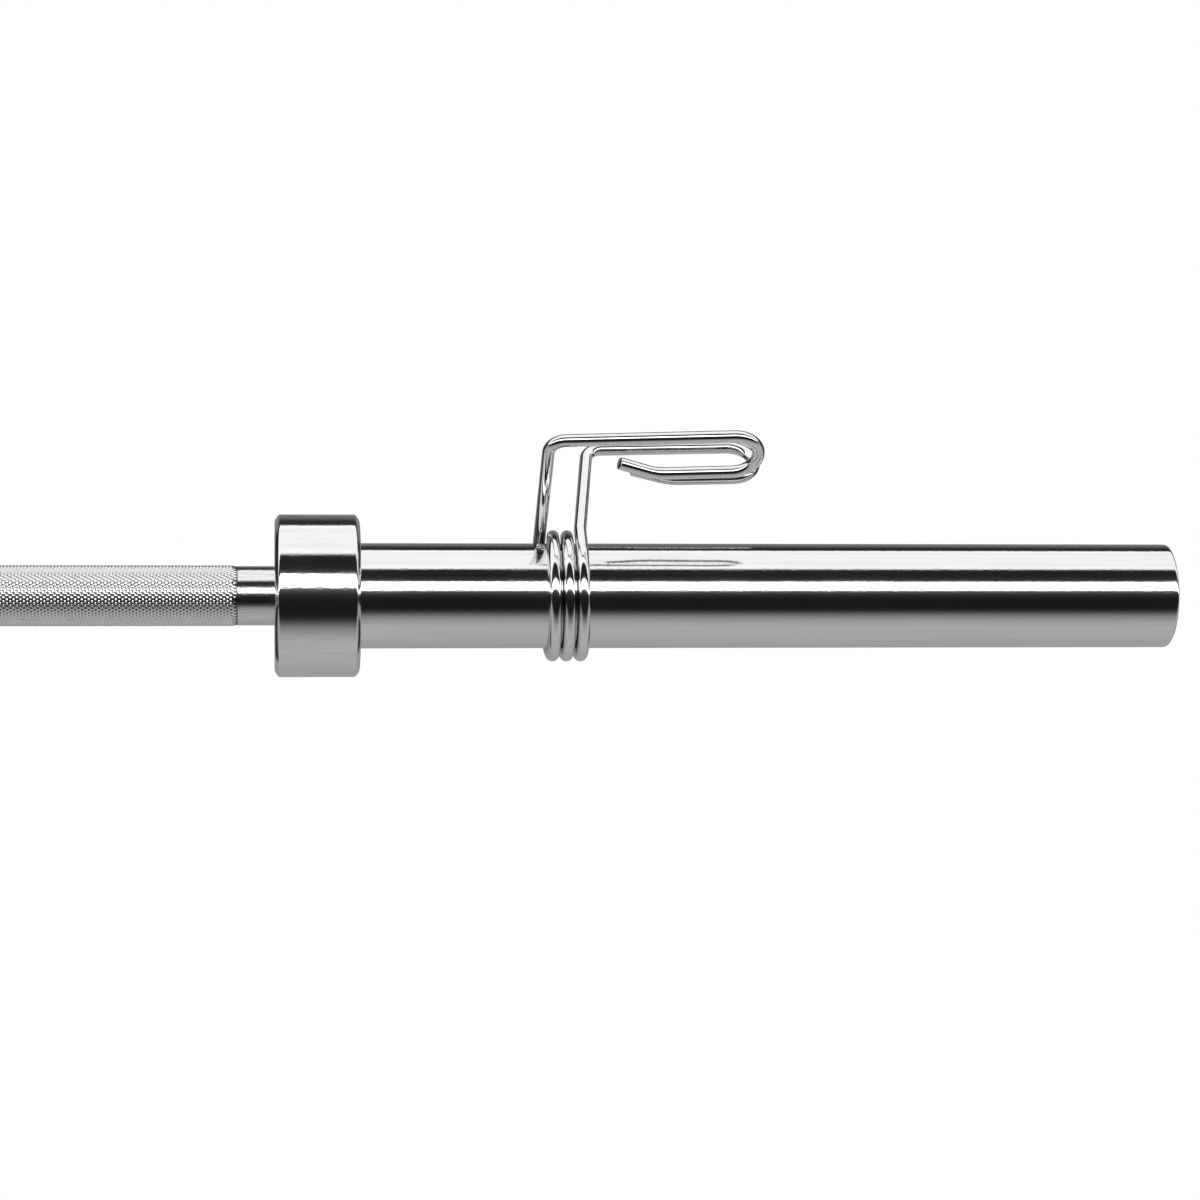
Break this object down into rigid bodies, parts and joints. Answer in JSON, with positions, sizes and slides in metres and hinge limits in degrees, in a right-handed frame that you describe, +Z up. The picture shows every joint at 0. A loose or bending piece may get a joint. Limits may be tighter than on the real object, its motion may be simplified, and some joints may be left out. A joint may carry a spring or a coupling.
{
  "type": "olympic barbell",
  "caption": "Straight weightlifting barbell with a knurled shaft, revolving sleeves for plates and sprung wire clips with squeeze grips.",
  "frame": {"origin": "middle of the bar's length on the shaft's axis", "axes": "+X along the bar towards its right end, +Z up, with the clips' grips on the +Z side"},
  "size_m": [2.181, 0.0904, 0.1158],
  "materials": {
    "shaft_chrome": "hard chrome over knurled steel",
    "sleeve_chrome": "bright chrome on a turned tube",
    "collar_chrome": "bright chrome",
    "wire_chrome": "chromed spring wire",
    "fastener_steel": "zinc plated",
    "bearing_bronze": "oiled bronze"
  },
  "bodies": {
    "shaft_body": {"shaft": "shaft_chrome", "thrust_washer_right": "bearing_bronze", "retaining_washer_right": "fastener_steel", "lock_washer_right": "fastener_steel", "end_bolt_right": "fastener_steel", "thrust_washer_left": "bearing_bronze", "retaining_washer_left": "fastener_steel", "lock_washer_left": "fastener_steel", "end_bolt_left": "fastener_steel"},
    "sleeve_body_right": {"collar_right": "collar_chrome", "sleeve_tube_right": "sleeve_chrome", "inner_bushing_right": "bearing_bronze", "outer_bushing_right": "bearing_bronze", "end_cap_right": "collar_chrome"},
    "sleeve_body_left": {"collar_left": "collar_chrome", "sleeve_tube_left": "sleeve_chrome", "inner_bushing_left": "bearing_bronze", "outer_bushing_left": "bearing_bronze", "end_cap_left": "collar_chrome"},
    "clip_body_right": {"clip_coil_right": "wire_chrome"},
    "near_grip_body_right": {"clip_near_grip_right": "wire_chrome"},
    "far_grip_body_right": {"clip_far_grip_right": "wire_chrome"},
    "clip_body_left": {"clip_coil_left": "wire_chrome"},
    "near_grip_body_left": {"clip_near_grip_left": "wire_chrome"},
    "far_grip_body_left": {"clip_far_grip_left": "wire_chrome"}
  },
  "joints": [
    {"name": "sleeve_spin_right", "type": "hinge", "parent": "shaft_body", "child": "sleeve_body_right", "pos_m": [0.855, 0, 0], "axis": [1, 0, 0], "continuous": true},
    {"name": "sleeve_spin_left", "type": "hinge", "parent": "shaft_body", "child": "sleeve_body_left", "pos_m": [-0.855, 0, 0], "axis": [-1, 0, 0], "continuous": true},
    {"name": "clip_slide_right", "type": "slide", "parent": "sleeve_body_right", "child": "clip_body_right", "axis": [1, 0, 0], "range_m": [-0.083, 0.32]},
    {"name": "clip_slide_left", "type": "slide", "parent": "sleeve_body_left", "child": "clip_body_left", "axis": [-1, 0, 0], "range_m": [-0.083, 0.32]},
    {"name": "near_grip_squeeze_right", "type": "hinge", "parent": "clip_body_right", "child": "near_grip_body_right", "pos_m": [0.792, 0, 0], "axis": [-1, 0, 0], "range_deg": [0, 14], "stiffness_Nm_per_rad": 18, "springref_deg": -4.01, "deforming": ["clip_coil_right"]},
    {"name": "far_grip_squeeze_right", "type": "hinge", "parent": "clip_body_right", "child": "far_grip_body_right", "pos_m": [0.792, 0, 0], "axis": [1, 0, 0], "range_deg": [0, 14], "stiffness_Nm_per_rad": 18, "springref_deg": -4.01},
    {"name": "near_grip_squeeze_left", "type": "hinge", "parent": "clip_body_left", "child": "near_grip_body_left", "pos_m": [-0.792, 0, 0], "axis": [1, 0, 0], "range_deg": [0, 14], "stiffness_Nm_per_rad": 18, "springref_deg": -4.01, "deforming": ["clip_coil_left"]},
    {"name": "far_grip_squeeze_left", "type": "hinge", "parent": "clip_body_left", "child": "far_grip_body_left", "pos_m": [-0.792, 0, 0], "axis": [-1, 0, 0], "range_deg": [0, 14], "stiffness_Nm_per_rad": 18, "springref_deg": -4.01}
  ],
  "couplings": [
    {"joint": "far_grip_squeeze_right", "follows": "near_grip_squeeze_right", "ratio": 1},
    {"joint": "far_grip_squeeze_left", "follows": "near_grip_squeeze_left", "ratio": 1}
  ]
}
